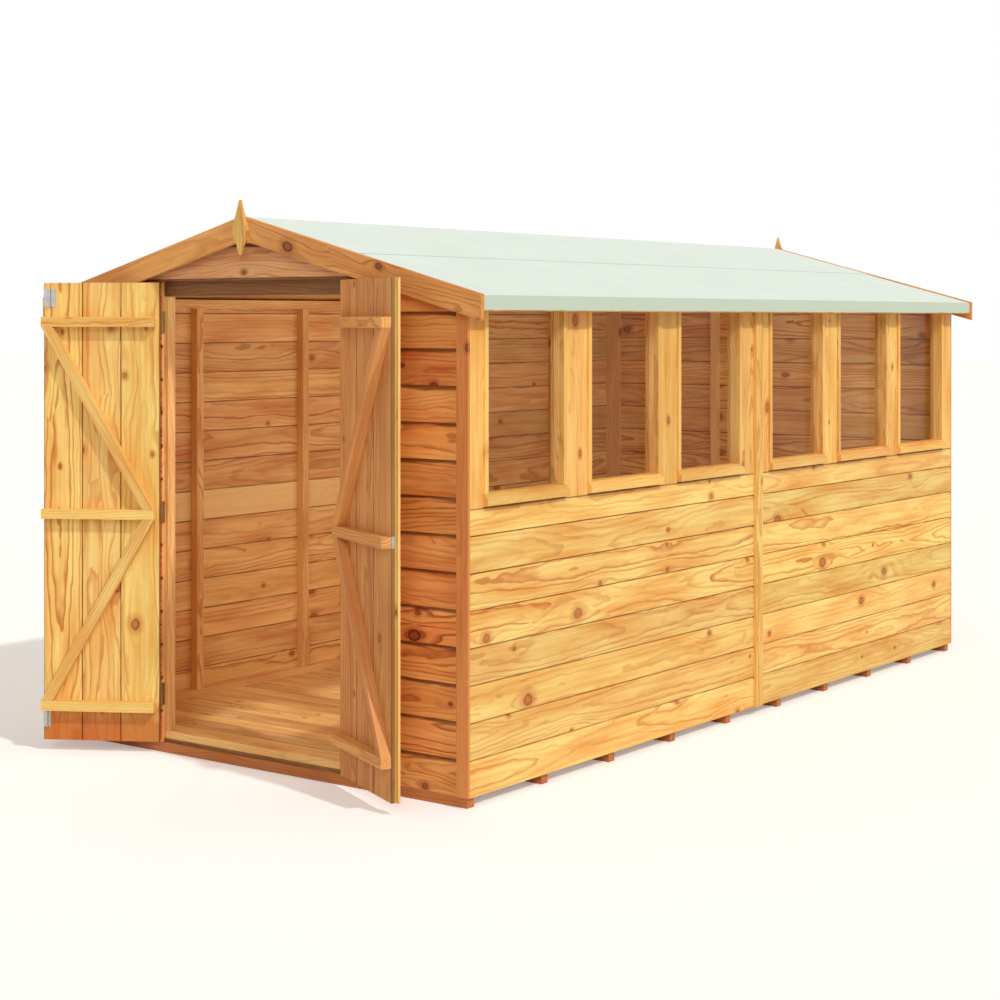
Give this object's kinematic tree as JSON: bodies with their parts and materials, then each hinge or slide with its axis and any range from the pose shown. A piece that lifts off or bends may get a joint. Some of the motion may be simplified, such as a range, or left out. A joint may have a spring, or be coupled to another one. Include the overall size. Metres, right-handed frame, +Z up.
{
  "type": "wooden garden shed",
  "caption": "Apex timber garden shed with shiplap walls, fixed side windows, felted roof and ledged and braced double doors that swing outwards.",
  "frame": {"origin": "centre of the underside of the front bearer, at ground level below the doorway", "axes": "+Y runs from the doorway along the shed to the back gable, +Z is up, +X is towards the window wall"},
  "size_m": [1.98, 3.9041, 1.8857],
  "materials": {
    "cladding": "honey-stained softwood boards",
    "trim_timber": "planed and stained softwood",
    "framing": "sawn and stained softwood",
    "door_timber": "tongued boards, stained",
    "floor_timber": "bare boards",
    "bearer_timber": "sawn softwood",
    "roof_timber": "bare boards",
    "felt": "pale green mineral felt",
    "glazing": "clear",
    "steel": "zinc plated"
  },
  "bodies": {
    "root": {"bearers": "bearer_timber", "floor_boards": "floor_timber", "front_wall_left": "cladding", "front_wall_right": "cladding", "front_gable": "cladding", "back_wall": "cladding", "left_wall_front": "cladding", "left_wall_back": "cladding", "right_wall_front": "cladding", "right_wall_back": "cladding", "corner_trims": "trim_timber", "cover_strips": "trim_timber", "front_wall_studs": "framing", "front_wall_rails": "framing", "back_wall_studs": "framing", "back_wall_rails": "framing", "left_wall_studs": "framing", "left_wall_rails": "framing", "right_wall_studs": "framing", "right_wall_rails": "framing", "window_posts": "trim_timber", "window_beads": "trim_timber", "window_sills": "trim_timber", "window_heads": "trim_timber", "window_glass": "glazing", "roof_boards": "roof_timber", "roof_battens": "framing", "roof_rafters": "framing", "roof_felt_sides": "felt", "roof_felt_ridge": "felt", "bargeboards": "trim_timber", "finials": "trim_timber", "frame_hinges": "steel"},
    "left_door": {"left_door_boards": "door_timber", "left_door_ledges": "door_timber", "left_door_braces": "door_timber", "left_door_hinges": "steel", "left_door_bolts": "steel"},
    "right_door": {"right_door_boards": "door_timber", "right_door_ledges": "door_timber", "right_door_braces": "door_timber", "right_door_hinges": "steel", "right_door_meeting_strip": "trim_timber", "right_door_keep": "steel"}
  },
  "joints": [
    {"name": "left_door_hinge", "type": "hinge", "parent": "root", "child": "left_door", "pos_m": [-0.416, -0.023, 0.83], "axis": [0, 0, -1], "range_deg": [-150, 5]},
    {"name": "right_door_hinge", "type": "hinge", "parent": "root", "child": "right_door", "pos_m": [0.416, -0.023, 0.83], "axis": [0, 0, 1], "range_deg": [-153, 2]}
  ]
}
